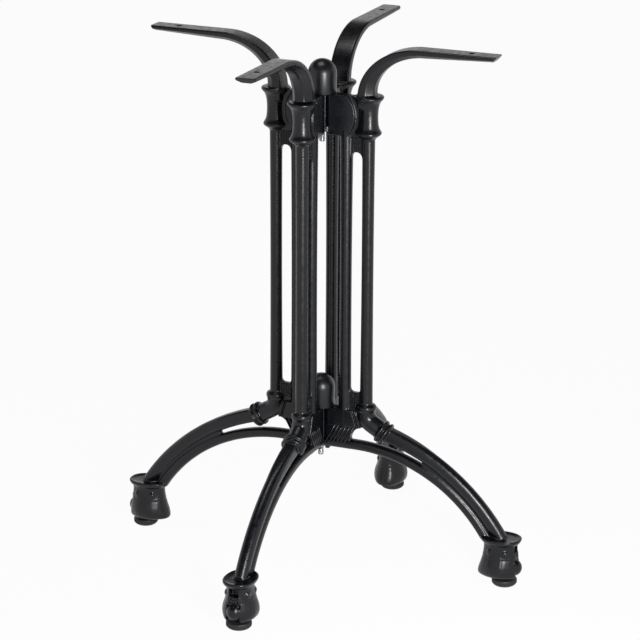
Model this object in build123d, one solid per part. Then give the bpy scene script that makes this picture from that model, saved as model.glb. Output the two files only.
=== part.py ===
from build123d import *
from math import cos, radians, sin, sqrt
import os

# Whole base
base_height = 720.0           # floor to the flat tops of the arms
casting_names = ["right", "back", "left", "front"]   # four equal castings, right lies along +X
joint_gap = 0.3               # between the mitred faces of neighbouring castings
joint_notch = 2.7             # open step along each visible edge of that joint

# Hubs, where the webs of the castings meet
web_thickness = 17.0
recess_thickness = 11.0       # thinner plate behind the raised fields
upper_web_height = 54.0
lower_web_bottom = 157.0
lower_web_height = 60.0

# Two round rods of each column
rod_diameter = 16.8
inner_rod_distance = 35.0     # axis of the base to the axis of the inner rod
outer_rod_distance = 66.0
panel_thickness = 9.0
panel_bite = 0.4              # how far the ends of the panels reach into the rods
upper_panel_height = 21.0
lower_panel_height = 25.0
slot_corner_radius = 4.0      # at the foot of the slot, its head is a full arch

# Turned collar under each arm
collar_lip_radius = 19.5
collar_waist_radius = 12.2
collar_foot_radius = 16.0
collar_height = 52.0
collar_lip = 4.0
collar_rise = 2.0             # top of the collar above the web

# Arms
arm_rise = 70.0               # web top to arm top, also the outer radius of the bend
arm_root_distance = 54.0      # axis of the base to the inner face of the arm at its root
arm_reach = 243.0
arm_width = 28.0
arm_root_depth = 22.0
arm_root_side = 11.0          # flat part of the side face
arm_root_belly = 13.0         # width of the flat underside
arm_tip_depth = 9.0
arm_tip_side = 5.5
arm_tip_belly = 13.0
arm_tip_slant = 5.0
arm_hole_distance = 206.0
arm_hole_diameter = 7.0

# Knuckle, where the outer rod turns into the leg
knuckle_drop = 12.0           # corner of the elbow below the lower web top
neck_radius = 12.4
neck_length = 30.0            # corner of the elbow to the middle of the broad ring
neck_slope = 30.0             # degrees below level
rod_ring_radius = 13.4
rod_ring_height = 6.0
rod_ring_rise = 6.0           # middle of the ring above the lower web top
neck_ring_radius = 16.4
neck_ring_width = 10.6

# Leg of two strands
upper_strand_width = 18.0
upper_strand_depth = 19.0
upper_strand_corner = 4.5
upper_strand_bow = 20.0       # height of the arc over its chord
lower_strand_width = 15.0
lower_strand_depth = 13.6
lower_strand_corner = 3.6
lower_strand_rise = 10.0      # middle of the strand above the hub bottom
lower_strand_flat = 53.0      # level run before the arc starts
lower_strand_setback = 22.0   # entry into the foot, inward of the foot's centre
strand_web_thickness = 9.0
strand_join_distance = 147.0  # where the two strands run together

# Lower web with its window
field_height = 24.0           # raised flat field under the web top
field_top_distance = 48.0
field_bottom_distance = 54.0
window_inner_distance = 45.0
window_crown_distance = 58.0
window_crown_height = 35.0    # above the hub bottom
window_bow = 5.8              # height of its inner edge over the chord

# Upper web field with its round end
upper_field_shoulder = 38.0
upper_field_end = 49.0

# Paw foot
foot_distance = 262.0
foot_height = 54.0
paw_facets = 18               # flats round the carved paw
foot_base_length = 56.0
foot_base_width = 42.0
foot_bulge_length = 64.0
foot_bulge_width = 48.0
foot_bulge_height = 8.0
foot_waist_length = 47.0
foot_waist_width = 35.0
foot_waist_height = 35.0
foot_rim_length = 56.0
foot_rim_width = 43.0
foot_rim_height = 4.0
channel_width = 19.0          # upright channel on the outer face
channel_floor = 21.0          # from the foot's centre
toe_distance = 21.0           # toe's middle outward of the foot's centre
toe_radius = 9.2
toe_height = 19.0
hatch_height = 10.0           # flat band above the toe
hatch_proud = 1.6
socket_width = 13.0           # dark square hollow under the rim
socket_height = 13.0
socket_depth = 9.0

# Levelling feet
leveller_offset = 6.0         # outward of the foot's centre
leveller_diameter = 8.0
leveller_length = 28.0        # above the pad
leveller_clearance = 0.08
leveller_hole_spare = 6.0     # hole beyond the end of the stud
pad_diameter = 34.0
pad_height = 10.0
pad_facets = 30
pad_bevel = 3.5
pad_gap = 4.0                 # between the pad and the foot

# Dome caps with their tie studs and nuts
dome_diameter = 38.0
dome_height = 45.0
tie_diameter = 8.0
tie_hole_clearance = 0.5
tie_thread_clearance = 0.08
tie_engagement = 20.0         # stud inside the cap
tie_hole_spare = 2.0          # hole beyond the end of the stud
tie_end = 12.0                # stud below the hub
nut_width = 13.0
nut_height = 6.5
nut_pocket_depth = 8.5
nut_pocket_width = 16.0

# Heights and places that follow from the sizes above
web_top = base_height - arm_rise
web_bottom = web_top - upper_web_height
lower_web_top = lower_web_bottom + lower_web_height
foot_bottom = pad_height + pad_gap
foot_top = foot_bottom + foot_height
rod_middle = (inner_rod_distance + outer_rod_distance) / 2
rod_spacing = outer_rod_distance - inner_rod_distance
rod_half_chord = sqrt((rod_diameter / 2) ** 2 - (panel_thickness / 2) ** 2)
slot_width = rod_spacing - 2 * (rod_half_chord - panel_bite)
knuckle_center = (outer_rod_distance, lower_web_top - knuckle_drop)
neck_direction = (cos(radians(neck_slope)), -sin(radians(neck_slope)))
neck_end = (knuckle_center[0] + neck_length * neck_direction[0],
            knuckle_center[1] + neck_length * neck_direction[1])
strand_entry_height = foot_top - foot_rim_height
lower_strand_height = lower_web_bottom + lower_strand_rise


def plate(sketch, thickness):
    # flat plate standing in the plane of the casting
    return extrude(Plane.XZ * sketch, amount=thickness / 2, both=True)


def upright(radius, bottom, height, distance=0.0):
    # round bar standing at a distance from the axis of the base
    bar = Cylinder(radius, height, align=(Align.CENTER, Align.CENTER, Align.MIN))
    return Pos(distance, 0, bottom) * bar


def column():
    # two rods with a short panel closing the slot at each end
    inner_bottom = lower_web_top - field_height
    outer_bottom = lower_web_top - knuckle_drop
    rod_top = web_top - collar_lip
    inner = upright(rod_diameter / 2, inner_bottom, rod_top - inner_bottom, inner_rod_distance)
    outer = upright(rod_diameter / 2, outer_bottom, rod_top - outer_bottom, outer_rod_distance)
    head_bottom = web_bottom - upper_panel_height - slot_width / 2
    head_height = upper_panel_height + slot_width / 2
    head = Pos(rod_middle, head_bottom + head_height / 2) * Rectangle(rod_spacing, head_height)
    head -= Pos(rod_middle, head_bottom) * Circle(slot_width / 2)
    sill_height = lower_panel_height + slot_corner_radius
    sill = Pos(rod_middle, lower_web_top + sill_height / 2) * Rectangle(rod_spacing, sill_height)
    sill -= (Pos(rod_middle, lower_web_top + lower_panel_height + slot_width)
             * RectangleRounded(slot_width, 2 * slot_width, slot_corner_radius))
    return inner + outer + plate(head, panel_thickness) + plate(sill, panel_thickness)


def collar():
    # turned baluster round the head of the outer rod
    top = web_top + collar_rise
    lip_bottom = top - collar_lip
    bottom = top - collar_height
    waist_height = (lip_bottom + bottom) / 2
    stages = [(bottom, collar_foot_radius), (waist_height, collar_waist_radius),
              (lip_bottom, collar_lip_radius), (top, collar_lip_radius)]
    rings = [Pos(outer_rod_distance, 0, height) * Circle(radius) for height, radius in stages]
    return loft(rings, ruled=True)


def arm_section(depth, side, belly):
    # flat top, upright sides and slanted lower corners, hung below the path of the top face
    half = arm_width / 2
    outline = Polyline((-half, 0), (half, 0), (half, -side), (belly / 2, -depth), (-belly / 2, -depth),
                       (-half, -side), close=True)
    return make_face(outline)


def arm():
    # bar that grows thinner from its root to its tip and bends outwards through a quarter turn
    root = (arm_root_distance, web_top)
    bend_end = (arm_root_distance + arm_rise, base_height)
    bend = RadiusArc(root, bend_end, arm_rise)
    path = Plane.XZ * (bend + Line(bend_end, (arm_reach, base_height)))
    root_plane = Plane(origin=(root[0], 0, root[1]), x_dir=(0, 1, 0), z_dir=(0, 0, 1))
    tip_plane = Plane(origin=(arm_reach, 0, base_height), x_dir=(0, 1, 0), z_dir=(1, 0, 0))
    sections = [root_plane * arm_section(arm_root_depth, arm_root_side, arm_root_belly),
                tip_plane * arm_section(arm_tip_depth, arm_tip_side, arm_tip_belly)]
    bar = sweep(sections, path=path, multisection=True)
    slant_depth = 2 * arm_tip_depth
    slant = Polyline((arm_reach, base_height), (arm_reach - 2 * arm_tip_slant, base_height - slant_depth),
                     (arm_reach + arm_tip_slant, base_height - slant_depth), close=True)
    bar -= plate(make_face(slant), 2 * arm_width)
    bar -= upright(arm_hole_diameter / 2, base_height - arm_rise / 2, arm_rise, arm_hole_distance)
    return bar


def upper_web():
    # thin plate with a thick field whose end is rounded towards the collar
    middle = web_bottom + upper_web_height / 2
    thin = Pos(outer_rod_distance / 2, middle) * Rectangle(outer_rod_distance, upper_web_height)
    edge = Polyline((upper_field_shoulder, web_top), (0, web_top), (0, web_bottom), (upper_field_shoulder, web_bottom))
    end = ThreePointArc((upper_field_shoulder, web_bottom), (upper_field_end, middle), (upper_field_shoulder, web_top))
    return plate(thin, recess_thickness) + plate(make_face(edge + end), web_thickness)


def lower_web():
    # plate from the axis to the knuckle, cut away over the lower strand by an arched window
    field_bottom = lower_web_top - field_height
    crown = (window_crown_distance, lower_web_bottom + window_crown_height)
    corner = (window_inner_distance, lower_strand_height)
    edge = Polyline(knuckle_center, (outer_rod_distance, lower_web_top), (0, lower_web_top), (0, lower_web_bottom),
                    (window_inner_distance, lower_web_bottom), corner)
    arch = SagittaArc(corner, crown, window_bow)
    thin = make_face(edge + arch + Line(crown, knuckle_center))
    field_edge = Polyline((field_top_distance, lower_web_top), (0, lower_web_top), (0, field_bottom),
                          (field_bottom_distance, field_bottom))
    field_end = Line((field_bottom_distance, field_bottom), (field_top_distance, lower_web_top))
    field = plate(make_face(field_edge + field_end), web_thickness)
    return plate(thin, recess_thickness) + field


def knuckle():
    # ring under the rod, elbow and broad ring where the leg starts
    rod_ring_bottom = lower_web_top + rod_ring_rise - rod_ring_height / 2
    head = (outer_rod_distance, rod_ring_bottom + rod_ring_height / 2)
    start = Plane(origin=(head[0], 0, head[1]), x_dir=(0, 1, 0), z_dir=(0, 0, -1))
    path = Plane.XZ * Polyline(head, knuckle_center, neck_end)
    solid = sweep(start * Circle(neck_radius), path=path, transition=Transition.RIGHT)
    solid += upright(rod_ring_radius, rod_ring_bottom, rod_ring_height, outer_rod_distance)
    slope = Plane(origin=(neck_end[0], 0, neck_end[1]), x_dir=(0, 1, 0),
                  z_dir=(neck_direction[0], 0, neck_direction[1]))
    solid += slope * Cylinder(neck_ring_radius, neck_ring_width)
    return solid


def strand(path, start, direction, width, depth, corner):
    # bar with bevelled corners along its path
    plane = Plane(origin=(start[0], 0, start[1]), x_dir=(0, 1, 0), z_dir=(direction[0], 0, direction[1]))
    block = Rectangle(width, depth)
    section = chamfer(block.vertices(), corner)
    return sweep(plane * section, path=Plane.XZ * path)


def leg():
    # two arched strands that run together and go down into the foot
    upper_end = (foot_distance, strand_entry_height)
    upper_arc = SagittaArc(neck_end, upper_end, upper_strand_bow)
    start_direction = upper_arc % 0
    upper = strand(upper_arc, neck_end, (start_direction.X, start_direction.Y),
                   upper_strand_width, upper_strand_depth, upper_strand_corner)
    hub_end = (0, lower_strand_height)
    flat_end = (lower_strand_flat, lower_strand_height)
    lower_end = (foot_distance - lower_strand_setback, strand_entry_height)
    run = Line(hub_end, flat_end)
    lower_arc = TangentArc(flat_end, lower_end, tangent=(1, 0))
    lower = strand(run + lower_arc, hub_end, (1, 0), lower_strand_width, lower_strand_depth, lower_strand_corner)
    loop = upper_arc + Line(upper_end, lower_end) + lower_arc + Line(flat_end, neck_end)
    between = plate(make_face(loop), strand_web_thickness)
    beyond = foot_distance - strand_join_distance
    between &= Pos(strand_join_distance + beyond / 2, 0, base_height / 2) * Box(beyond, arm_width, base_height)
    return upper + lower + between


def paw_ring(length, width):
    # oval ring of flat facets
    turns = [radians((number + 0.5) * 360 / paw_facets) for number in range(paw_facets)]
    points = [(length / 2 * cos(turn), width / 2 * sin(turn)) for turn in turns]
    return make_face(Polyline(*points, close=True))


def foot():
    # paw: bulging base, waist, flared rim, and a toe in a channel on the outer face
    rim_bottom = foot_height - foot_rim_height
    outline = [(0, foot_base_length, foot_base_width), (foot_bulge_height, foot_bulge_length, foot_bulge_width),
               (foot_waist_height, foot_waist_length, foot_waist_width),
               (rim_bottom, foot_rim_length, foot_rim_width), (foot_height, foot_rim_length, foot_rim_width)]
    paw = loft([Pos(0, 0, height) * paw_ring(length, width) for height, length, width in outline], ruled=True)
    low = (Align.MIN, Align.CENTER, Align.MIN)
    reach = foot_bulge_length / 2
    paw -= Pos(channel_floor, 0, 0) * Box(reach, channel_width, rim_bottom, align=low)
    socket_bottom = rim_bottom - socket_height
    paw -= Pos(channel_floor - socket_depth, 0, socket_bottom) * Box(reach, socket_width, socket_height, align=low)
    paw += Pos(channel_floor, 0, socket_bottom - hatch_height) * Box(hatch_proud, channel_width, hatch_height, align=low)
    paw += upright(toe_radius, 0, toe_height, toe_distance)
    hole_depth = leveller_length - pad_gap + leveller_hole_spare
    paw -= upright(leveller_diameter / 2 + leveller_clearance, 0, hole_depth, leveller_offset)
    return Pos(foot_distance, 0, foot_bottom) * paw


def hub_cuts():
    # hole for the tie stud and pocket for its nut in both hubs
    cuts = upright(tie_diameter / 2 + tie_hole_clearance, 0, base_height)
    for bottom in (lower_web_bottom, web_bottom):
        pocket = Box(nut_pocket_width, nut_pocket_width, 2 * nut_pocket_depth)
        cuts += Pos(0, 0, bottom) * pocket
    return cuts


def casting():
    # one quarter of the base, cast in one piece along +X
    solid = column() + collar() + arm() + upper_web() + lower_web() + knuckle() + leg() + foot()
    solid -= hub_cuts()
    apex = joint_gap / 2 / sin(radians(45))
    corner = web_thickness / 2
    sector = Polyline((apex, 0), (apex + arm_reach, arm_reach), (2 * foot_distance, arm_reach),
                      (2 * foot_distance, -arm_reach), (apex + arm_reach, -arm_reach), close=True)
    solid &= extrude(make_face(sector), base_height)
    for side in (-1, 1):
        notch = Box(2 * joint_notch, 2 * joint_notch, base_height, align=(Align.CENTER, Align.CENTER, Align.MIN))
        solid -= Pos(corner, side * corner, 0) * Rot(0, 0, side * 45) * notch
    return solid


def dome_cap(bottom):
    # round cap screwed down on the four hub corners
    radius = dome_diameter / 2
    spring = dome_height - radius
    outline = Polyline((radius, spring), (radius, 0), (0, 0), (0, dome_height))
    crown = ThreePointArc((0, dome_height), (radius * sin(radians(45)), spring + radius * cos(radians(45))),
                          (radius, spring))
    cap = revolve(Plane.XZ * make_face(outline + crown), axis=Axis.Z)
    cap -= upright(tie_diameter / 2 + tie_thread_clearance, 0, tie_engagement + tie_hole_spare)
    return Pos(0, 0, bottom) * cap


def tie_stud(hub_bottom, hub_top):
    bottom = hub_bottom - tie_end
    return upright(tie_diameter / 2, bottom, hub_top + tie_engagement - bottom)


def tie_nut(hub_bottom):
    seat = hub_bottom + nut_pocket_depth
    corner_radius = nut_width / 2 / cos(radians(30))
    nut = extrude(RegularPolygon(corner_radius, 6), nut_height)
    nut -= Cylinder(tie_diameter / 2 + tie_thread_clearance, 4 * nut_height)
    return Pos(0, 0, seat - nut_height) * nut


def leveller_stud():
    return upright(leveller_diameter / 2, pad_height, leveller_length, foot_distance + leveller_offset)


def leveller_pad():
    # round plastic pad with flats for the fingers and a bevel at the floor
    pad = extrude(RegularPolygon(pad_diameter / 2, pad_facets), pad_height)
    pad = chamfer(pad.edges().group_by(Axis.Z)[0], pad_bevel)
    return Pos(foot_distance + leveller_offset, 0, 0) * pad


os.makedirs("parts", exist_ok=True)

one_casting = casting()
one_stud = leveller_stud()
one_pad = leveller_pad()
for turn, name in enumerate(casting_names):
    about = Rot(0, 0, turn * 360 / len(casting_names))
    export_step(about * one_casting, f"parts/leg_casting_{name}.step")
    export_step(about * one_stud, f"parts/leveller_stud_{name}.step")
    export_step(about * one_pad, f"parts/leveller_pad_{name}.step")

hubs = [(lower_web_bottom, lower_web_top), (web_bottom, web_top)]
export_step(Compound(children=[dome_cap(top) for bottom, top in hubs]), "parts/dome_caps.step")
export_step(Compound(children=[tie_stud(bottom, top) for bottom, top in hubs]), "parts/tie_studs.step")
export_step(Compound(children=[tie_nut(bottom) for bottom, top in hubs]), "parts/tie_nuts.step")
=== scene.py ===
import bmesh
import bpy
import math
from mathutils import Matrix, Vector


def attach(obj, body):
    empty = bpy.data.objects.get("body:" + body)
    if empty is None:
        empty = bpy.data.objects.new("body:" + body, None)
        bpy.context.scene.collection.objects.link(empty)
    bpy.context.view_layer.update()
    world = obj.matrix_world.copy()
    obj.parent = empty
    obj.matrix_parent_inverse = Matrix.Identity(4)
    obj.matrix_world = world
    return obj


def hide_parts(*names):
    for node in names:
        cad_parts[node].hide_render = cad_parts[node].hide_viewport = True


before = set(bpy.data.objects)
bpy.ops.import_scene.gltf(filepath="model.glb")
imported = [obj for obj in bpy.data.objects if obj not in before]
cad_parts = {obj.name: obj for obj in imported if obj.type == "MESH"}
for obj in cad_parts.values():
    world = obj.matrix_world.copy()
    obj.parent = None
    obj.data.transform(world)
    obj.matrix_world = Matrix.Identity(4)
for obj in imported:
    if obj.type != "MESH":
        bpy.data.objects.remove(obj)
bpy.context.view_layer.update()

mm = 0.001
sideNames = ["right", "back", "left", "front"]  # the casting along +X first, then a quarter turn each


# shared mesh makers, all in millimetres
def shell(bm, rings):
    # closed skin over a row of rings, flat at both ends
    rows = [[bm.verts.new((p[0] * mm, p[1] * mm, p[2] * mm)) for p in ring] for ring in rings]
    count = len(rows[0])
    for low, high in zip(rows, rows[1:]):
        for i in range(count):
            j = (i + 1) % count
            bm.faces.new((low[i], low[j], high[j], high[i]))
    bm.faces.new(rows[0][::-1])
    bm.faces.new(rows[-1])


def lathe(bm, profile, foot, axis=(0, 0, 1), steps=64):
    # turned form: pairs of (distance along the axis, radius) from the point foot
    along = Vector(axis).normalized()
    side = Vector((0, 1, 0))
    third = along.cross(side)
    rings = []
    for height, radius in profile:
        middle = Vector(foot) + along * height
        rings.append([middle + side * radius * math.cos(math.tau * i / steps)
                      + third * radius * math.sin(math.tau * i / steps) for i in range(steps)])
    shell(bm, rings)


def ellipsoid(bm, middle, radii, steps=40):
    rows = []
    for k in range(1, steps // 2):
        lift = math.pi * k / (steps // 2) - math.pi / 2
        rows.append([(middle[0] + radii[0] * math.cos(lift) * math.cos(math.tau * i / steps),
                      middle[1] + radii[1] * math.cos(lift) * math.sin(math.tau * i / steps),
                      middle[2] + radii[2] * math.sin(lift)) for i in range(steps)])
    shell(bm, rows)


def plate(bm, outline, thickness):
    # flat plate in the plane of the casting, from an outline of (x, z)
    shell(bm, [[(x, y, z) for x, z in outline] for y in (-thickness / 2, thickness / 2)])


def block(bm, low, high):
    outline = [(low[0], low[1]), (high[0], low[1]), (high[0], high[1]), (low[0], high[1])]
    shell(bm, [[(x, y, z) for x, y in outline] for z in (low[2], high[2])])


def sweepRings(stations):
    # stations of (x, z, tangent x, tangent z, section of (across, above))
    return [[(x - v * tz, u, z + v * tx) for u, v in section] for x, z, tx, tz, section in stations]


def roundBar(width, depth, squareness, steps=40):
    # section of a bar: an oval at squareness 2, nearer to a rectangle above that
    points = []
    for i in range(steps):
        c, s = math.cos(math.tau * i / steps), math.sin(math.tau * i / steps)
        points.append((width / 2 * math.copysign(abs(c) ** (2 / squareness), c),
                       depth / 2 * math.copysign(abs(s) ** (2 / squareness), s)))
    return points


def bowArc(start, end, bow, count):
    # points and tangents along an arc that stands bow above its chord
    sx, sz = start
    ex, ez = end
    chord = math.hypot(ex - sx, ez - sz)
    radius = chord * chord / (8 * bow) + bow / 2
    ux, uz = (ex - sx) / chord, (ez - sz) / chord
    cx = (sx + ex) / 2 + uz * (radius - bow)
    cz = (sz + ez) / 2 - ux * (radius - bow)
    first = math.atan2(sz - cz, sx - cx)
    turn = 2 * math.asin(chord / 2 / radius)
    out = []
    for i in range(count + 1):
        a = first - turn * i / count
        out.append((cx + radius * math.cos(a), cz + radius * math.sin(a), math.sin(a), -math.cos(a)))
    return out


def finishMesh(bm, name):
    bmesh.ops.recalc_face_normals(bm, faces=bm.faces[:])
    mesh = bpy.data.meshes.new(name)
    bm.to_mesh(mesh)
    bm.free()
    return mesh


def place(data, name):
    thing = bpy.data.objects.new(name, data)
    bpy.context.scene.collection.objects.link(thing)
    return thing


def evaluated(thing):
    # plain mesh of what the modifiers make, and the helper object is gone
    bpy.context.view_layer.update()
    graph = bpy.context.evaluated_depsgraph_get()
    mesh = bpy.data.meshes.new_from_object(thing.evaluated_get(graph))
    bpy.data.objects.remove(thing)
    return mesh


def smoothShade(mesh):
    mesh.polygons.foreach_set("use_smooth", [True] * len(mesh.polygons))


# shared node makers, for finishes and for Geometry Nodes
def plug(tree, socket, value):
    # a value is a number, a vector or another node's socket
    if isinstance(value, bpy.types.NodeSocket):
        tree.links.new(value, socket)
    else:
        socket.default_value = value


def feed(tree, node, **values):
    # input sockets by name, with spaces written as underscores
    for label, value in values.items():
        plug(tree, node.inputs[label.replace("_", " ")], value)
    return node


def sums(tree, operation, first, second):
    node = tree.nodes.new("ShaderNodeMath")
    node.operation = operation
    plug(tree, node.inputs[0], first)
    plug(tree, node.inputs[1], second)
    return node.outputs[0]


# one leg casting, along +X, from the column to the foot, in millimetres
columnSizes = {"inner": 35.0, "outer": 66.0, "innerSpan": (190.0, 602.0), "outerSpan": (205.0, 646.0),
               "middleRadius": 7.9, "endRadius": 8.9, "panel": 9.0, "headTop": 597.0, "headFoot": 575.0,
               "sillTop": 242.0, "sillFoot": 216.0, "slotCorner": 4.5, "steps": 24}


def addColumn(bm):
    s = columnSizes
    for x, (low, high) in ((s["inner"], s["innerSpan"]), (s["outer"], s["outerSpan"])):
        profile = []  # rods are a little slimmer at mid height
        for i in range(s["steps"] + 1):
            t = 2 * i / s["steps"] - 1
            z = low + (high - low) * i / s["steps"]
            profile.append((z, s["middleRadius"] + (s["endRadius"] - s["middleRadius"]) * t * t))
        lathe(bm, profile, (x, 0, 0))
    middle = (s["inner"] + s["outer"]) / 2
    gap = s["outer"] - s["inner"] - 2 * s["middleRadius"]
    arch = [(middle + gap / 2 * math.cos(math.pi * i / 16),
             s["headFoot"] - gap / 2 + gap / 2 * math.sin(math.pi * i / 16)) for i in range(17)]
    low = s["headFoot"] - gap / 2
    plate(bm, [(s["outer"], low), (s["outer"], s["headTop"]), (s["inner"], s["headTop"]), (s["inner"], low)]
          + arch[::-1], s["panel"])
    r = s["slotCorner"]  # the slot's foot has round corners, its head is an arch
    left, right, top = middle - gap / 2, middle + gap / 2, s["sillTop"]
    corners = [(right - r + r * math.sin(math.pi / 2 * i / 6), top + r - r * math.cos(math.pi / 2 * i / 6))
               for i in range(7)]
    mirrored = [(left + right - x, z) for x, z in corners[::-1]]
    plate(bm, [(s["inner"], s["sillFoot"]), (s["outer"], s["sillFoot"]), (s["outer"], top + r)] + corners[::-1]
          + mirrored[::-1] + [(s["inner"], top + r)], s["panel"])


# turned collar: height and radius from its foot to its lip
collarProfile = [(591.0, 7.5), (594.5, 9.4), (597.0, 12.0), (599.2, 15.2), (600.8, 16.8), (602.2, 17.1),
                 (603.6, 16.7), (605.6, 15.2), (608.6, 13.7), (613.0, 12.7), (619.0, 12.2), (626.0, 12.1),
                 (633.0, 12.5), (638.5, 13.4), (642.5, 14.9), (645.4, 17.0), (647.4, 18.9), (649.2, 19.8),
                 (650.8, 19.6), (652.0, 18.0), (652.4, 12.0)]

armSizes = {"root": 54.0, "foot": 636.0, "spring": 650.0, "bend": 70.0, "run": 84.0, "reach": 243.0,
            "halfWidth": 14.0, "halfBelly": 6.5, "edge": 1.5, "rootDepth": 22.0, "tipDepth": 7.4,
            "rootSide": 11.0, "tipSide": 4.2, "slimming": 1.7, "slant": 5.0, "steps": 24}


def addArm(bm):
    s = armSizes
    top = s["spring"] + s["bend"]
    path = [(s["root"], s["foot"], 0, 1)]
    for i in range(s["steps"] + 1):  # quarter of an ellipse
        a = math.pi / 2 * i / s["steps"]
        tx, tz = s["run"] * math.sin(a), s["bend"] * math.cos(a)
        size = math.hypot(tx, tz)
        path.append((s["root"] + s["run"] * (1 - math.cos(a)), s["spring"] + s["bend"] * math.sin(a),
                     tx / size, tz / size))
    path.append((s["reach"], top, 1, 0))
    walked = [0.0, 0.0]  # the arm slims only from the spring of the bend
    for before, after in zip(path[1:], path[2:]):
        walked.append(walked[-1] + math.hypot(after[0] - before[0], after[1] - before[1]))
    length = walked[-1]
    stations = []
    for (x, z, tx, tz), way in zip(path, walked):
        share = (1 - way / length) ** s["slimming"]
        depth = s["tipDepth"] + (s["rootDepth"] - s["tipDepth"]) * share
        side = s["tipSide"] + (s["rootSide"] - s["tipSide"]) * share
        w, b, e = s["halfWidth"], s["halfBelly"], s["edge"]
        half = [(w - e, 0), (w, -e), (w, -side), (b, -depth)]
        stations.append((x, z, tx, tz, half + [(-u, v) for u, v in half[::-1]]))
    rings = sweepRings(stations)
    rings[-1] = [(x - s["slant"] * (top - z) / s["tipDepth"], y, z) for x, y, z in rings[-1]]  # slanted end face
    shell(bm, rings)


webSizes = {"thin": 11.0, "field": 17.0, "inner": -2.0, "upperFoot": 596.0, "upperTop": 650.0,
            "shoulder": 38.0, "fieldEnd": 49.0, "lowerFoot": 157.0, "lowerTop": 217.0, "fieldFoot": 193.0,
            "fieldTopEnd": 47.5, "fieldFootEnd": 54.5, "bandNear": 2.6, "bandFar": 5.4, "hubHalf": 14.0,
            "strandFoot": 161.0, "windowFoot": (45.0, 167.0), "windowCrown": (58.0, 192.5), "windowBow": 6.0,
            "elbow": (70.0, 197.0), "topEnd": 68.0}


def addWebs(bm):
    s = webSizes
    inner, outer = s["inner"], columnSizes["outer"]
    plate(bm, [(inner, s["upperFoot"]), (outer, s["upperFoot"]), (outer, s["upperTop"]), (inner, s["upperTop"])],
          s["thin"])
    half = (s["upperTop"] - s["upperFoot"]) / 2  # the raised field ends in a flat arc
    rise = s["fieldEnd"] - s["shoulder"]
    radius = (half * half + rise * rise) / (2 * rise)
    turn = math.asin(half / radius)
    end = [(s["fieldEnd"] - radius + radius * math.cos(a), s["upperFoot"] + half + radius * math.sin(a))
           for a in [-turn + 2 * turn * i / 20 for i in range(21)]]
    plate(bm, [(inner, s["upperFoot"])] + end + [(inner, s["upperTop"])], s["field"])
    window = [(x, z) for x, z, tx, tz in bowArc(s["windowFoot"], s["windowCrown"], s["windowBow"], 12)]
    plate(bm, [(inner, s["lowerFoot"]), (s["hubHalf"], s["lowerFoot"]), (s["hubHalf"], s["strandFoot"]),
               (s["windowFoot"][0], s["strandFoot"])] + window
          + [s["elbow"], (s["topEnd"], s["lowerTop"]), (inner, s["lowerTop"])], s["thin"])
    plate(bm, [(inner, s["fieldFoot"]), (s["fieldFootEnd"], s["fieldFoot"]), (s["fieldTopEnd"], s["lowerTop"]),
               (inner, s["lowerTop"])], s["field"])
    near, far = s["bandNear"], s["bandFar"]  # slanted band between the field and the elbow
    plate(bm, [(s["fieldFootEnd"] + near, s["fieldFoot"]), (s["fieldFootEnd"] + far, s["fieldFoot"]),
               (s["fieldTopEnd"] + far, s["lowerTop"]), (s["fieldTopEnd"] + near, s["lowerTop"])], s["field"])


# rings are pairs of (distance along the axis, radius)
knuckleSizes = {"corner": (66.0, 205.0), "slope": 30.0, "neckLength": 30.0, "bend": 16.0, "neckRadius": 12.5,
                "rodRingHeight": 222.5, "steps": 12,
                "rodRing": [(-5.4, 8.5), (-4.6, 12.2), (-2.6, 13.6), (0.0, 14.0), (2.6, 13.5), (4.2, 12.0),
                            (5.0, 8.5)],
                "twinRing": [(-6.6, 12.0), (-6.0, 15.0), (-5.0, 16.3), (-2.6, 16.5), (-1.5, 15.4), (-0.8, 13.2),
                             (0.8, 13.2), (1.5, 15.4), (2.6, 16.5), (5.0, 16.3), (6.0, 15.0), (6.6, 12.0)]}


def neckEnd():
    # where the neck meets the upper strand, under the twin ring
    s = knuckleSizes
    slope = math.radians(s["slope"])
    return (s["corner"][0] + s["neckLength"] * math.cos(slope), s["corner"][1] - s["neckLength"] * math.sin(slope))


def addKnuckle(bm):
    s = knuckleSizes
    slope = math.radians(s["slope"])
    direction = (math.cos(slope), 0, -math.sin(slope))
    turn = math.pi / 2 - slope
    reach = s["bend"] * math.tan(turn / 2)
    x, z = s["corner"]
    circle = roundBar(2 * s["neckRadius"], 2 * s["neckRadius"], 2, 48)
    stations = [(x, s["rodRingHeight"], 0, -1, circle)]
    for i in range(s["steps"] + 1):
        a = turn * i / s["steps"]
        stations.append((x + s["bend"] - s["bend"] * math.cos(a), z + reach - s["bend"] * math.sin(a),
                         math.sin(a), -math.cos(a), circle))
    end = neckEnd()
    stations.append((end[0], end[1], direction[0], direction[2], circle))
    shell(bm, sweepRings(stations))
    lathe(bm, s["rodRing"], (x, 0, s["rodRingHeight"]))
    lathe(bm, s["twinRing"], (end[0], 0, end[1]), direction)


legSizes = {"upperWidth": 18.0, "upperDepth": 19.0, "upperBow": 20.0, "upperEnd": (262.0, 64.0), "squareStart": 5.5,
            "squareEnd": 2.1, "lowerWidth": 15.0, "lowerDepth": 13.6, "lowerHeight": 167.0, "flat": 53.0,
            "lowerEnd": (240.0, 64.0), "lowerSquare": 2.8, "lowerStart": -2.0, "web": 9.0, "join": 146.0,
            "steps": 40, "squareSteps": 14}


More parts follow.
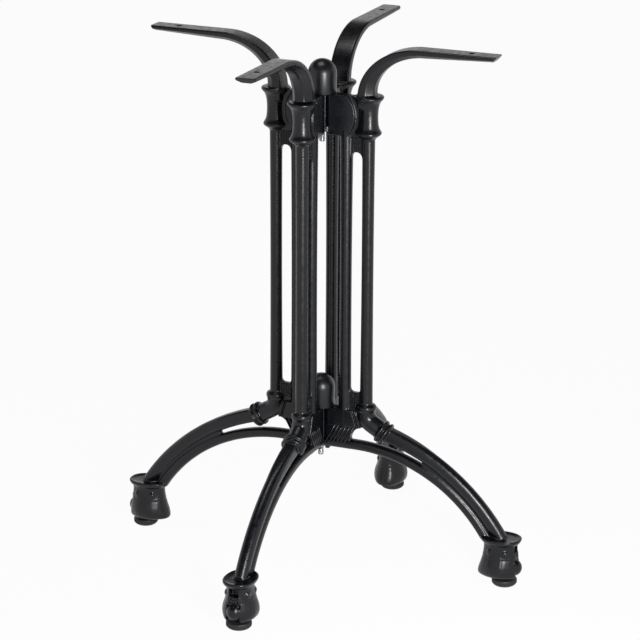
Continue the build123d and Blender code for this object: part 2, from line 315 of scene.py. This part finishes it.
def addLeg(bm):
    s = legSizes
    upper = bowArc(neckEnd(), s["upperEnd"], s["upperBow"], s["steps"])
    stations = []
    for i, (x, z, tx, tz) in enumerate(upper):
        t = min(1.0, i / s["squareSteps"])  # a square bar at the neck, round further down
        square = s["squareStart"] + (s["squareEnd"] - s["squareStart"]) * t
        stations.append((x, z, tx, tz, roundBar(s["upperWidth"], s["upperDepth"], square)))
    shell(bm, sweepRings(stations))
    drop = s["lowerHeight"] - s["lowerEnd"][1]
    run = s["lowerEnd"][0] - s["flat"]
    radius = (run * run + drop * drop) / (2 * drop)
    last = math.asin(run / radius)
    bar = roundBar(s["lowerWidth"], s["lowerDepth"], s["lowerSquare"])
    lower = [(s["lowerStart"], s["lowerHeight"], 1, 0)]  # flat under the hub, then one arc down to the foot
    for i in range(s["steps"] + 1):
        a = last * i / s["steps"]
        lower.append((s["flat"] + radius * math.sin(a), s["lowerHeight"] - radius + radius * math.cos(a),
                      math.cos(a), -math.sin(a)))
    shell(bm, sweepRings([(x, z, tx, tz, bar) for x, z, tx, tz in lower]))
    outline = [(x, z) for x, z, tx, tz in upper + lower[::-1] if x >= s["join"]]
    plate(bm, outline, s["web"])  # thin web where the strands join again


footSizes = {"middle": 262.0, "squareness": 2.3, "lobeEnd": 60.5,
             # quarter of the lobed outline, as shares of the reach and the half width
             "lobe": [(0.0, 1.0), (0.22, 0.99), (0.29, 0.965), (0.315, 0.925), (0.34, 0.95), (0.5, 0.855),
                      (0.72, 0.68), (0.85, 0.52), (0.92, 0.39), (0.965, 0.26), (0.989, 0.13), (0.996, 0.05),
                      (0.996, 0.0)],
             # height, reach outward, reach inward, half width
             "rings": [(14.0, 26.4, 29.8, 19.0), (14.8, 27.2, 30.8, 20.5), (17.0, 27.6, 31.2, 22.1),
                       (20.5, 27.4, 30.7, 23.3), (25.0, 26.8, 29.4, 23.8), (30.0, 26.2, 27.7, 23.2),
                       (35.0, 25.5, 26.2, 21.7), (39.6, 24.9, 25.2, 20.1), (40.6, 23.8, 24.0, 18.9),
                       (41.6, 24.7, 25.0, 19.8), (45.0, 24.2, 24.2, 18.4), (50.0, 23.6, 23.6, 17.4),
                       (55.0, 23.4, 23.4, 17.1), (57.4, 23.8, 23.8, 17.5), (58.4, 22.8, 22.8, 16.6),
                       (59.4, 24.3, 24.3, 18.1), (62.0, 26.0, 26.0, 19.8), (64.5, 27.7, 27.7, 21.2),
                       (66.6, 28.0, 28.0, 21.5), (68.0, 27.2, 27.2, 20.7), (67.4, 25.0, 25.0, 18.5),
                       (66.4, 20.0, 20.0, 14.0), (66.0, 4.0, 4.0, 3.0)], "steps": 120,
             # places are counted from the middle
             "knob": (9.4, 14.6, 48.6), "knobRadii": (5.4, 3.4, 5.2), "toe": (18.2, 0.0, 26.6),
             "toeRadii": (11.9, 10.8, 11.8), "hatch": ((12.4, -9.0, 36.0), (21.2, 9.0, 47.4))}


def lobeRadius(c, d):
    # how far the lobed outline lies from the middle in one direction
    corners = footSizes["lobe"]
    for (x0, y0), (x1, y1) in zip(corners, corners[1:]):
        before, after = c * y0 - d * x0, c * y1 - d * x1
        if before >= 0 >= after:
            t = before / (before - after)
            return math.hypot(x0 + (x1 - x0) * t, y0 + (y1 - y0) * t)
    return 1.0


def pawRing(height, outward, inward, half, lobed):
    # oval ring; below the rim it has a flat flank, a crease and an end lobe that turns away
    s = footSizes
    points = []
    for i in range(s["steps"]):
        c, d = math.cos(math.tau * i / s["steps"]), math.sin(math.tau * i / s["steps"])
        if lobed:
            radius = lobeRadius(abs(c), abs(d))
        else:
            radius = (abs(c) ** s["squareness"] + abs(d) ** s["squareness"]) ** (-1 / s["squareness"])
        points.append((s["middle"] + (outward if c > 0 else inward) * radius * c, half * radius * d, height))
    return points


def addFoot(bm):
    s = footSizes
    shell(bm, [pawRing(z, outward, inward, half, z < s["lobeEnd"]) for z, outward, inward, half in s["rings"]])
    for side in (-1, 1):
        for end in (-1, 1):
            ellipsoid(bm, (s["middle"] + end * s["knob"][0], side * s["knob"][1], s["knob"][2]), s["knobRadii"])


def toeForms():
    # what stands in the channel: the bulging toe and the slab under the hatching
    s = footSizes
    toe, slab = bmesh.new(), bmesh.new()
    ellipsoid(toe, (s["middle"] + s["toe"][0], s["toe"][1], s["toe"][2]), s["toeRadii"])
    low, high = s["hatch"]
    block(slab, (s["middle"] + low[0], low[1], low[2]), (s["middle"] + high[0], high[1], high[2]))
    return [place(finishMesh(toe, "castingToe"), "castingToe"), place(finishMesh(slab, "castingSlab"), "castingSlab")]


cutSizes = {"mitre": 0.2, "wedge": 60.0, "wedgeBack": 20.0, "hubSpan": (100.0, 700.0), "corner": 8.5, "notch": 2.7,
            "notchDepth": 6.0, "notchPast": 12.0, "armHole": 3.5, "armHoleX": 206.0, "armSpan": (690.0, 730.0),
            "channelX": 280.6, "channelHalf": 9.6, "channelTop": 38.6, "channelEnd": 310.0,
            "socketX": 274.6, "socketHalf": 6.4, "socketFoot": 37.4, "socketTop": 60.5, "socketEnd": 320.0,
            "levellerX": 268.0, "levellerHole": 4.5, "levellerTop": 46.0, "footUnder": 5.0,
            "pocket": 8.0, "pocketDepth": 8.5, "pocketUnder": 5.0, "tieHole": 4.5}


def cutters():
    # cutting forms, in groups whose members don't meet
    s = cutSizes
    groups = []
    for side in (1, -1):
        bm = bmesh.new()
        wedge = [(s["mitre"], 0.0), (s["wedge"] + s["mitre"], s["wedge"] * side),
                 (-s["wedgeBack"], s["wedge"] * side), (-s["wedgeBack"], 0.0)]
        shell(bm, [[(x, y, z) for x, y in wedge] for z in s["hubSpan"]])
        if side > 0:
            lathe(bm, [(z, s["armHole"]) for z in s["armSpan"]], (s["armHoleX"], 0, 0), steps=32)
            block(bm, (s["channelX"], -s["channelHalf"], s["footUnder"]),
                  (s["channelEnd"], s["channelHalf"], s["channelTop"]))
        else:
            block(bm, (s["socketX"], -s["socketHalf"], s["socketFoot"]),
                  (s["socketEnd"], s["socketHalf"], s["socketTop"]))
        groups.append(bm)
    bm = bmesh.new()
    for side in (1, -1):
        # open joint at the hub corner, along the mitre
        slot = []
        deep, past = -s["notchDepth"], s["notchPast"]
        for away, across in ((deep, 1), (past, 1), (past, -1), (deep, -1)):
            along = (s["corner"] * math.sqrt(2) + away) / math.sqrt(2)
            offset = across * s["notch"] / math.sqrt(2)
            slot.append((along + offset, side * (along - offset)))
        shell(bm, [[(x, y, z) for x, y in slot] for z in s["hubSpan"]])
    lathe(bm, [(z, s["levellerHole"]) for z in (s["footUnder"], s["levellerTop"])], (s["levellerX"], 0, 0), steps=32)
    groups.append(bm)
    bm = bmesh.new()
    for low in (webSizes["upperFoot"], webSizes["lowerFoot"]):
        block(bm, (-s["pocket"], -s["pocket"], low - s["pocketUnder"]),
              (s["pocket"], s["pocket"], low + s["pocketDepth"]))
    groups.append(bm)
    bm = bmesh.new()
    lathe(bm, [(z, s["tieHole"]) for z in s["hubSpan"]], (0, 0, 0), steps=32)
    groups.append(bm)
    return [place(finishMesh(bm, f"castingCut{number}"), f"castingCut{number}") for number, bm in enumerate(groups)]


castingFinish = {"firstVoxel": 0.9, "lastVoxel": 0.8, "softening": 0.5, "passes": 3, "keep": 0.32}


def remesh(thing, size):
    step = thing.modifiers.new("remesh", "REMESH")
    step.mode = "VOXEL"
    step.voxel_size = size * mm


def combine(thing, others, operation):
    for other in others:
        step = thing.modifiers.new("combine", "BOOLEAN")
        step.operation = operation
        step.solver = "MANIFOLD"
        step.object = other


def makeCasting():
    bm = bmesh.new()
    addColumn(bm)
    lathe(bm, collarProfile, (columnSizes["outer"], 0, 0))
    addArm(bm)
    addWebs(bm)
    addKnuckle(bm)
    addLeg(bm)
    addFoot(bm)
    body = place(finishMesh(bm, "castingBody"), "castingBody")
    knives = cutters()
    toes = toeForms()
    remesh(body, castingFinish["firstVoxel"])
    combine(body, knives, "DIFFERENCE")
    combine(body, toes, "UNION")
    remesh(body, castingFinish["lastVoxel"])
    soften = body.modifiers.new("soften", "SMOOTH")
    soften.factor = castingFinish["softening"]
    soften.iterations = castingFinish["passes"]
    thin = body.modifiers.new("thin", "DECIMATE")
    thin.ratio = castingFinish["keep"]
    mesh = evaluated(body)
    for helper in knives + toes:
        bpy.data.objects.remove(helper)
    smoothShade(mesh)
    return mesh


# finishes, all on one shared grain
def groupWith(name, inputs, outputs):
    tree = bpy.data.node_groups.new(name, "ShaderNodeTree")
    for label, kind, value in inputs:
        socket = tree.interface.new_socket(label, in_out="INPUT", socket_type=kind)
        if value is not None:
            socket.default_value = value
    for label, kind in outputs:
        tree.interface.new_socket(label, in_out="OUTPUT", socket_type=kind)
    return tree, tree.nodes.new("NodeGroupInput"), tree.nodes.new("NodeGroupOutput")


def castGrainGroup():
    # sandy skin of a casting under paint: fine grains, broad waves and a mask for gloss
    tree, start, end = groupWith(
        "castGrain", [("Vector", "NodeSocketVector", None), ("Grain Scale", "NodeSocketFloat", 900.0),
                      ("Wave Scale", "NodeSocketFloat", 90.0), ("Wave Share", "NodeSocketFloat", 0.35)],
        [("Height", "NodeSocketFloat"), ("Tone", "NodeSocketFloat")])
    size = start.outputs
    fine = feed(tree, tree.nodes.new("ShaderNodeTexNoise"), Vector=size["Vector"], Scale=size["Grain Scale"],
                Detail=3.0, Roughness=0.6).outputs["Fac"]
    wave = feed(tree, tree.nodes.new("ShaderNodeTexNoise"), Vector=size["Vector"], Scale=size["Wave Scale"],
                Detail=2.0).outputs["Fac"]
    mix = feed(tree, tree.nodes.new("ShaderNodeMix"), Factor=size["Wave Share"], A=fine, B=wave)
    feed(tree, end, Height=mix.outputs["Result"], Tone=wave)
    return tree


castGrain = castGrainGroup()
toneSizes = {"low": 0.3, "high": 0.7, "lift": 1.35}  # range of the mask, and how much lighter its pale side is


def finish(name, look):
    mat = bpy.data.materials.new(name)
    mat.use_nodes = True
    tree = mat.node_tree
    skin = tree.nodes.new("ShaderNodeGroup")
    skin.node_tree = castGrain
    feed(tree, skin, Vector=tree.nodes.new("ShaderNodeTexCoord").outputs["Object"], Grain_Scale=look["grain"],
         Wave_Scale=look["wave"], Wave_Share=look["share"])
    bump = feed(tree, tree.nodes.new("ShaderNodeBump"), Strength=look["strength"], Distance=look["depth"],
                Height=skin.outputs["Height"])
    rough = feed(tree, tree.nodes.new("ShaderNodeMapRange"), Value=skin.outputs["Tone"],
                 From_Min=toneSizes["low"], From_Max=toneSizes["high"],
                 To_Min=look["roughness"] - look["spread"], To_Max=look["roughness"] + look["spread"])
    shade = tree.nodes.new("ShaderNodeMix")
    shade.data_type = "RGBA"
    pale = [c * toneSizes["lift"] for c in look["colour"]]
    feed(tree, shade, Factor=skin.outputs["Tone"], A=(*look["colour"], 1), B=(*pale, 1))
    feed(tree, tree.nodes["Principled BSDF"], Base_Color=shade.outputs["Result"], Roughness=rough.outputs["Result"],
         Normal=bump.outputs["Normal"], Metallic=look["metallic"], Specular_IOR_Level=look["specular"])
    return mat


# spread is how far the mask moves the roughness either way; grain and wave are scales, depth is in metres
ironLook = {"colour": (0.0018, 0.0021, 0.0036), "roughness": 0.29, "spread": 0.07, "metallic": 0.0, "specular": 0.36,
            "grain": 800.0, "wave": 140.0, "share": 0.2, "strength": 0.3, "depth": 0.0001}
domeLook = {"colour": (0.003, 0.0033, 0.0046), "roughness": 0.33, "spread": 0.04, "metallic": 0.0, "specular": 0.42,
            "grain": 1600.0, "wave": 60.0, "share": 0.1, "strength": 0.08, "depth": 0.0003}
zincLook = {"colour": (0.46, 0.47, 0.48), "roughness": 0.34, "spread": 0.08, "metallic": 1.0, "specular": 0.5,
            "grain": 1200.0, "wave": 200.0, "share": 0.3, "strength": 0.1, "depth": 0.0002}
padLook = {"colour": (0.012, 0.012, 0.0125), "roughness": 0.5, "spread": 0.08, "metallic": 0.0, "specular": 0.4,
           "grain": 1400.0, "wave": 150.0, "share": 0.2, "strength": 0.2, "depth": 0.0003}
ironPaint = finish("blackIronPaint", ironLook)
domePaint = finish("satinDomePaint", domeLook)
zincPlate = finish("brightZincPlate", zincLook)
padPlastic = finish("mattPadPlastic", padLook)
print("finishes ready")

castingMesh = makeCasting()
print("casting:", len(castingMesh.polygons), "faces")
for turn, name in enumerate(sideNames):
    mesh = castingMesh.copy()
    mesh.transform(Matrix.Rotation(math.pi / 2 * turn, 4, "Z"))
    mesh.materials.clear()
    mesh.materials.append(ironPaint)
    casting = place(mesh, f"cast{name.capitalize()}Leg")
    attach(casting, "frame")
    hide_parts(f"leg_casting_{name}")
print("four castings placed")


# dome caps on the two hubs
domeSizes = {"radius": 19.0, "height": 45.0, "edge": 0.8, "tip": 0.15, "steps": 20,
             "seats": [webSizes["lowerTop"], webSizes["upperTop"]]}


def makeDomes():
    s = domeSizes
    r, e = s["radius"], s["edge"]
    spring = s["height"] - r
    profile = [(0.0, r - e), (e * 0.3, r - e * 0.3), (e, r), (spring, r)]
    for i in range(1, s["steps"]):
        a = math.pi / 2 * i / s["steps"]
        profile.append((spring + r * math.sin(a), r * math.cos(a)))
    profile.append((s["height"], s["tip"]))
    bm = bmesh.new()
    for seat in s["seats"]:
        lathe(bm, [(seat + h, radius) for h, radius in profile], (0, 0, 0), steps=96)
    mesh = finishMesh(bm, "domeCaps")
    smoothShade(mesh)
    mesh.materials.append(domePaint)
    return place(mesh, "domeCaps")


domes = makeDomes()
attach(domes, "frame")
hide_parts("dome_caps")

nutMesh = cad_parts["tie_nuts"].data  # the nuts keep their own mesh
nutMesh.materials.clear()
nutMesh.materials.append(zincPlate)
print("dome caps and nuts done")


# repeated details, grown by Geometry Nodes
def growthTree(name, inputs):
    tree = bpy.data.node_groups.new(name, "GeometryNodeTree")
    tree.interface.new_socket("Geometry", in_out="INPUT", socket_type="NodeSocketGeometry")
    for label, kind in inputs:
        tree.interface.new_socket(label, in_out="INPUT", socket_type=f"NodeSocket{kind}")
    tree.interface.new_socket("Material", in_out="INPUT", socket_type="NodeSocketMaterial")
    tree.interface.new_socket("Geometry", in_out="OUTPUT", socket_type="NodeSocketGeometry")
    return tree, tree.nodes.new("NodeGroupInput"), tree.nodes.new("NodeGroupOutput")


def vector(tree, x, y, z):
    return feed(tree, tree.nodes.new("ShaderNodeCombineXYZ"), X=x, Y=y, Z=z).outputs[0]


def joined(tree, parts):
    node = tree.nodes.new("GeometryNodeJoinGeometry")
    for part in parts:
        tree.links.new(part, node.inputs[0])
    return node.outputs[0]


def scatter(tree, points, shape, turn, size):
    node = tree.nodes.new("GeometryNodeInstanceOnPoints")
    return feed(tree, node, Points=points, Instance=shape, Rotation=turn, Scale=size).outputs[0]


def fourTimes(tree, shape):
    # the same on every casting, a quarter turn apart
    points = feed(tree, tree.nodes.new("GeometryNodePoints"), Count=4)
    count = tree.nodes.new("GeometryNodeInputIndex").outputs[0]
    turn = vector(tree, 0.0, 0.0, sums(tree, "MULTIPLY", count, math.pi / 2))
    return scatter(tree, points.outputs[0], shape, turn, (1, 1, 1))


def closeTree(tree, start, end, shape):
    real = feed(tree, tree.nodes.new("GeometryNodeRealizeInstances"), Geometry=shape)
    coat = feed(tree, tree.nodes.new("GeometryNodeSetMaterial"), Geometry=real.outputs[0],
                Material=start.outputs["Material"])
    tree.links.new(coat.outputs[0], end.inputs[0])


def grow(name, tree, sizes, coat, base=None):
    # runs a tree on a base mesh and keeps the result as a plain mesh
    thing = place(base or bpy.data.meshes.new(name), name)
    step = thing.modifiers.new("growth", "NODES")
    step.node_group = tree
    for item in tree.interface.items_tree:
        if item.in_out == "INPUT" and item.name in sizes:
            step[item.identifier] = sizes[item.name]
        if item.in_out == "INPUT" and item.name == "Material":
            step[item.identifier] = coat
    mesh = evaluated(thing)
    smoothShade(mesh)
    mesh.materials.clear()
    mesh.materials.append(coat)
    return place(mesh, name)


def stippleTree():
    tree, start, end = growthTree("panelStipple", [
        ("Columns", "Int"), ("Rows", "Int"), ("Pitch", "Float"), ("Dot Radius", "Float"), ("Dot Height", "Float"),
        ("Middle X", "Float"), ("Upper Z", "Float"), ("Lower Z", "Float"), ("Panel Half", "Float")])
    size = start.outputs
    grid = tree.nodes.new("GeometryNodeMeshGrid")
    feed(tree, grid, Size_X=sums(tree, "MULTIPLY", sums(tree, "SUBTRACT", size["Columns"], 1.0), size["Pitch"]),
         Size_Y=sums(tree, "MULTIPLY", sums(tree, "SUBTRACT", size["Rows"], 1.0), size["Pitch"]),
         Vertices_X=size["Columns"], Vertices_Y=size["Rows"])
    patches = []
    for level in ("Upper Z", "Lower Z"):
        for side in (-1.0, 1.0):
            where = vector(tree, size["Middle X"], sums(tree, "MULTIPLY", size["Panel Half"], side), size[level])
            stand = tree.nodes.new("GeometryNodeTransform")
            feed(tree, stand, Geometry=grid.outputs["Mesh"], Translation=where, Rotation=(math.pi / 2, 0, 0))
            patches.append(stand.outputs[0])
    dot = feed(tree, tree.nodes.new("GeometryNodeMeshUVSphere"), Segments=8, Rings=5, Radius=1.0)
    dots = scatter(tree, joined(tree, patches), dot.outputs["Mesh"], (0, 0, 0),
                   vector(tree, size["Dot Radius"], size["Dot Height"], size["Dot Radius"]))
    closeTree(tree, start, end, fourTimes(tree, dots))
    return tree


def ribTree():
    # leaning ribs in a row on both faces of a web
    tree, start, end = growthTree("fanRibs", [
        ("Count", "Int"), ("Pitch", "Float"), ("Lean", "Float"), ("Rib Length", "Float"), ("Rib Radius", "Float"),
        ("Rib Height", "Float"), ("First X", "Float"), ("Middle Z", "Float"), ("Web Half", "Float")])
    size = start.outputs
    rows = []
    for side in (-1.0, 1.0):
        face = sums(tree, "MULTIPLY", size["Web Half"], side)
        row = tree.nodes.new("GeometryNodeMeshLine")
        feed(tree, row, Count=size["Count"], Offset=vector(tree, size["Pitch"], 0.0, 0.0),
             Start_Location=vector(tree, size["First X"], face, size["Middle Z"]))
        rows.append(row.outputs["Mesh"])
    rib = feed(tree, tree.nodes.new("GeometryNodeMeshCylinder"), Vertices=10, Radius=1.0, Depth=1.0)
    ribs = scatter(tree, joined(tree, rows), rib.outputs["Mesh"], vector(tree, 0.0, size["Lean"], 0.0),
                   vector(tree, size["Rib Radius"], size["Rib Height"], size["Rib Length"]))
    closeTree(tree, start, end, fourTimes(tree, ribs))
    return tree


def hatchTree():
    # ridges that cross each other on the outer face of a foot
    tree, start, end = growthTree("footHatch", [
        ("Count", "Int"), ("Pitch", "Float"), ("Lean", "Float"), ("Ridge Length", "Float"), ("Ridge Radius", "Float"),
        ("Slab X", "Float"), ("Middle Z", "Float")])
    size = start.outputs
    width = sums(tree, "MULTIPLY", sums(tree, "SUBTRACT", size["Count"], 1.0), size["Pitch"])
    row = tree.nodes.new("GeometryNodeMeshLine")
    feed(tree, row, Count=size["Count"], Offset=vector(tree, 0.0, size["Pitch"], 0.0),
         Start_Location=vector(tree, size["Slab X"], sums(tree, "MULTIPLY", width, -0.5), size["Middle Z"]))
    ridge = feed(tree, tree.nodes.new("GeometryNodeMeshCylinder"), Vertices=8, Radius=1.0, Depth=1.0)
    ways = []
    for side in (-1.0, 1.0):
        ways.append(scatter(tree, row.outputs["Mesh"], ridge.outputs["Mesh"],
                            vector(tree, sums(tree, "MULTIPLY", size["Lean"], side), 0.0, 0.0),
                            vector(tree, size["Ridge Radius"], size["Ridge Radius"], size["Ridge Length"])))
    closeTree(tree, start, end, fourTimes(tree, joined(tree, ways)))
    return tree


def padRibTree():
    # fine upright ribs round the edge of a pad, added to the pad itself
    tree, start, end = growthTree("padRibs", [
        ("Count", "Int"), ("Ring Radius", "Float"), ("Rib Radius", "Float"), ("Rib Length", "Float"),
        ("Middle", "Vector")])
    size = start.outputs
    ring = feed(tree, tree.nodes.new("GeometryNodeMeshCircle"), Vertices=size["Count"], Radius=size["Ring Radius"])
    lift = feed(tree, tree.nodes.new("GeometryNodeTransform"), Geometry=ring.outputs["Mesh"],
                Translation=size["Middle"])
    rib = feed(tree, tree.nodes.new("GeometryNodeMeshUVSphere"), Segments=6, Rings=6, Radius=1.0)
    half = sums(tree, "MULTIPLY", size["Rib Length"], 0.5)
    ribs = scatter(tree, lift.outputs[0], rib.outputs["Mesh"], (0, 0, 0),
                   vector(tree, size["Rib Radius"], size["Rib Radius"], half))
    closeTree(tree, start, end, joined(tree, [start.outputs["Geometry"], ribs]))
    return tree


def threadTree():
    # one thread ridge wound round a core, added to the core itself
    tree, start, end = growthTree("studThread", [
        ("Turns", "Float"), ("Core Radius", "Float"), ("Ridge Radius", "Float"), ("Thread Length", "Float"),
        ("Foot", "Vector")])
    size = start.outputs
    helix = feed(tree, tree.nodes.new("GeometryNodeCurveSpiral"), Resolution=24, Rotations=size["Turns"],
                 Start_Radius=size["Core Radius"], End_Radius=size["Core Radius"], Height=size["Thread Length"])
    ridge = feed(tree, tree.nodes.new("GeometryNodeCurvePrimitiveCircle"), Resolution=4, Radius=size["Ridge Radius"])
    wound = feed(tree, tree.nodes.new("GeometryNodeCurveToMesh"), Curve=helix.outputs["Curve"],
                 Profile_Curve=ridge.outputs["Curve"], Fill_Caps=True)
    lift = feed(tree, tree.nodes.new("GeometryNodeTransform"), Geometry=wound.outputs["Mesh"],
                Translation=size["Foot"])
    closeTree(tree, start, end, joined(tree, [start.outputs["Geometry"], lift.outputs[0]]))
    return tree


stippleSizes = {"Columns": 6, "Rows": 8, "Pitch": 2.4 * mm, "Dot Radius": 0.95 * mm, "Dot Height": 1.3 * mm,
                "Middle X": 50.5 * mm, "Upper Z": 585.4 * mm, "Lower Z": 231.8 * mm, "Panel Half": 4.4 * mm}
fanSizes = {"Count": 6, "Pitch": 5.4 * mm, "Lean": 0.5, "Rib Length": 34.0 * mm, "Rib Radius": 1.6 * mm,
            "Rib Height": 2.3 * mm, "First X": 16.0 * mm, "Middle Z": 180.0 * mm, "Web Half": 5.4 * mm}
hatchSizes = {"Count": 4, "Pitch": 3.2 * mm, "Lean": 0.9, "Ridge Length": 10.6 * mm, "Ridge Radius": 0.8 * mm,
              "Slab X": 283.2 * mm, "Middle Z": 42.4 * mm}
for name, tree, sizes in (("panelStippleDots", stippleTree(), stippleSizes), ("hubFanRibs", ribTree(), fanSizes),
                          ("footHatchRidges", hatchTree(), hatchSizes)):
    detail = grow(name, tree, sizes, ironPaint)
    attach(detail, "frame")
    print(name, len(detail.data.polygons), "faces")


# threaded studs and levelling pads
studSizes = {"core": 3.5, "crest": 4.0, "pitch": 1.25, "chamfer": 1.0, "levellerSpan": (10.0, 38.0),
             "tieHang": 12.0, "tieRise": 20.0}
padSizes = {"away": cutSizes["levellerX"], "ribs": 84, "ribRing": 16.6, "ribRadius": 0.38, "ribLength": 5.6,
            "ribMiddle": 6.2,
            # height and radius from the floor to the top
            "profile": [(0.0, 11.5), (0.5, 13.2), (1.4, 14.7), (2.6, 15.9), (4.2, 16.6), (6.0, 16.7), (8.2, 16.6),
                        (9.2, 16.2), (9.8, 15.4), (10.0, 14.2)]}
screwThread = threadTree()
padEdge = padRibTree()


def studSpans(name, spans, away):
    # threaded studs as one piece; spans of (foot, top), all on one upright line
    s = studSizes
    bm = bmesh.new()
    for foot, top in spans:
        lathe(bm, [(foot, s["core"] - s["chamfer"]), (foot + s["chamfer"], s["core"]),
                   (top - s["chamfer"], s["core"]), (top, s["core"] - s["chamfer"])], (away[0], away[1], 0), steps=32)
    mesh = finishMesh(bm, name)
    for foot, top in spans:
        length = top - foot - 2 * s["chamfer"]
        sizes = {"Turns": length / s["pitch"], "Core Radius": s["core"] * mm,
                 "Ridge Radius": (s["crest"] - s["core"]) * mm, "Thread Length": length * mm,
                 "Foot": (away[0] * mm, away[1] * mm, (foot + s["chamfer"]) * mm)}
        piece = grow(name, screwThread, sizes, zincPlate, mesh)
        mesh = piece.data
        if (foot, top) != spans[-1]:
            bpy.data.objects.remove(piece)
    return piece


tieSpans = [(webSizes[f"{hub}Foot"] - studSizes["tieHang"], webSizes[f"{hub}Top"] + studSizes["tieRise"])
            for hub in ("lower", "upper")]
tieStuds = studSpans("tieStudPair", tieSpans, (0, 0))
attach(tieStuds, "frame")
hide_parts("tie_studs")

for turn, name in enumerate(sideNames):
    angle = math.pi / 2 * turn
    away = (padSizes["away"] * math.cos(angle), padSizes["away"] * math.sin(angle))
    stud = studSpans(f"{name}LevellerStud", [studSizes["levellerSpan"]], away)
    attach(stud, f"leveller_{name}")
    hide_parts(f"leveller_stud_{name}")
    bm = bmesh.new()
    lathe(bm, padSizes["profile"], (away[0], away[1], 0), steps=96)
    sizes = {"Count": padSizes["ribs"], "Ring Radius": padSizes["ribRing"] * mm,
             "Rib Radius": padSizes["ribRadius"] * mm, "Rib Length": padSizes["ribLength"] * mm,
             "Middle": (away[0] * mm, away[1] * mm, padSizes["ribMiddle"] * mm)}
    pad = grow(f"{name}LevellerPad", padEdge, sizes, padPlastic, finishMesh(bm, f"{name}LevellerPad"))
    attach(pad, f"leveller_{name}")
    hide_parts(f"leveller_pad_{name}")
print("studs and pads done")


# floor, light and camera, in metres
stageSizes = {"radius": 9.0, "wallHeight": 5.0, "drop": 0.0002, "steps": 96, "paper": 0.8, "glow": 1.0,
              "glowShare": 0.96}  # the rest stays plain paper, so that the shadow shows


def stageMaterial():
    # white to the camera and in reflections, plain pale paper for the light that falls on it
    s = stageSizes
    mat = bpy.data.materials.new("paleStudioPaper")
    mat.use_nodes = True
    tree = mat.node_tree
    tree.nodes.clear()
    base = feed(tree, tree.nodes.new("ShaderNodeBsdfDiffuse"), Color=(s["paper"], s["paper"], s["paper"], 1))
    glow = feed(tree, tree.nodes.new("ShaderNodeEmission"), Color=(1, 1, 1, 1), Strength=s["glow"])
    path = tree.nodes.new("ShaderNodeLightPath")
    seen = sums(tree, "MAXIMUM", path.outputs["Is Camera Ray"], path.outputs["Is Glossy Ray"])
    seen = sums(tree, "MAXIMUM", seen, path.outputs["Is Transmission Ray"])
    mix = feed(tree, tree.nodes.new("ShaderNodeMixShader"), Fac=sums(tree, "MULTIPLY", seen, s["glowShare"]))
    tree.links.new(base.outputs["BSDF"], mix.inputs[1])
    tree.links.new(glow.outputs["Emission"], mix.inputs[2])
    feed(tree, tree.nodes.new("ShaderNodeOutputMaterial"), Surface=mix.outputs["Shader"])
    return mat


def stageRing(bm, z):
    r, steps = stageSizes["radius"], stageSizes["steps"]
    return [bm.verts.new((r * math.cos(math.tau * i / steps), r * math.sin(math.tau * i / steps), z))
            for i in range(steps)]


def makeStage():
    # round floor with a low wall all about it
    s = stageSizes
    bm = bmesh.new()
    bm.faces.new(stageRing(bm, -s["drop"]))
    floor = place(finishMesh(bm, "studioFloor"), "studioFloor")
    bm = bmesh.new()
    low, high = stageRing(bm, -s["drop"]), stageRing(bm, s["wallHeight"])
    for i in range(s["steps"]):
        j = (i + 1) % s["steps"]
        bm.faces.new((low[i], high[i], high[j], low[j]))
    wall = place(finishMesh(bm, "studioWall"), "studioWall")
    paper = stageMaterial()
    for thing in (floor, wall):
        thing.data.materials.append(paper)


lampSizes = {"rightStrip": {"where": (0.83, -0.99, 0.58), "aim": (0, 0, 0.42), "size": (0.22, 0.60), "power": 20},
             "topSoftbox": {"where": (-0.2, -0.2, 2.5), "aim": (0, 0, 0.4), "size": (1.0, 1.0), "power": 12}}
airSizes = {"grey": 0.5, "strength": 0.2}


def makeLight():
    for name, s in lampSizes.items():
        data = bpy.data.lights.new(name, "AREA")
        data.shape = "RECTANGLE"
        data.size, data.size_y = s["size"]
        data.energy = s["power"]
        lamp = place(data, name)
        lamp.location = s["where"]
        lamp.rotation_euler = (Vector(s["aim"]) - Vector(s["where"])).to_track_quat("-Z", "Y").to_euler()
    world = bpy.data.worlds.new("studioAir")
    world.use_nodes = True
    grey = airSizes["grey"]
    feed(world.node_tree, world.node_tree.nodes["Background"], Color=(grey, grey, grey, 1),
         Strength=airSizes["strength"])
    bpy.context.scene.world = world


# angles in degrees, the focal length in pixels of the square image
cameraSizes = {"azimuth": 23.06, "elevation": 18.18, "roll": 0.23, "distance": 3.671,
               "target": (-0.0017, -0.0007, 0.3371), "focal": 2740.5, "image": 640, "sensor": 36.0, "far": 60}


def makeCamera():
    s = cameraSizes
    az, el, roll = (math.radians(s[k]) for k in ("azimuth", "elevation", "roll"))
    back = Vector((math.sin(az) * math.cos(el), -math.cos(az) * math.cos(el), math.sin(el)))
    right = Vector((math.cos(az), math.sin(az), 0))
    up = back.cross(right)
    right, up = right * math.cos(roll) + up * math.sin(roll), up * math.cos(roll) - right * math.sin(roll)
    data = bpy.data.cameras.new("catalogueCamera")
    data.sensor_width = s["sensor"]
    data.sensor_fit = "HORIZONTAL"
    data.lens = s["focal"] / s["image"] * s["sensor"]
    data.clip_end = s["far"]
    camera = place(data, "catalogueCamera")
    turn = Matrix((right, up, back)).transposed().to_4x4()
    camera.matrix_world = Matrix.Translation(Vector(s["target"]) + back * s["distance"]) @ turn
    bpy.context.scene.camera = camera


makeStage()
makeLight()
makeCamera()
bpy.context.scene.view_settings.view_transform = "Standard"
print("floor, light and camera ready")
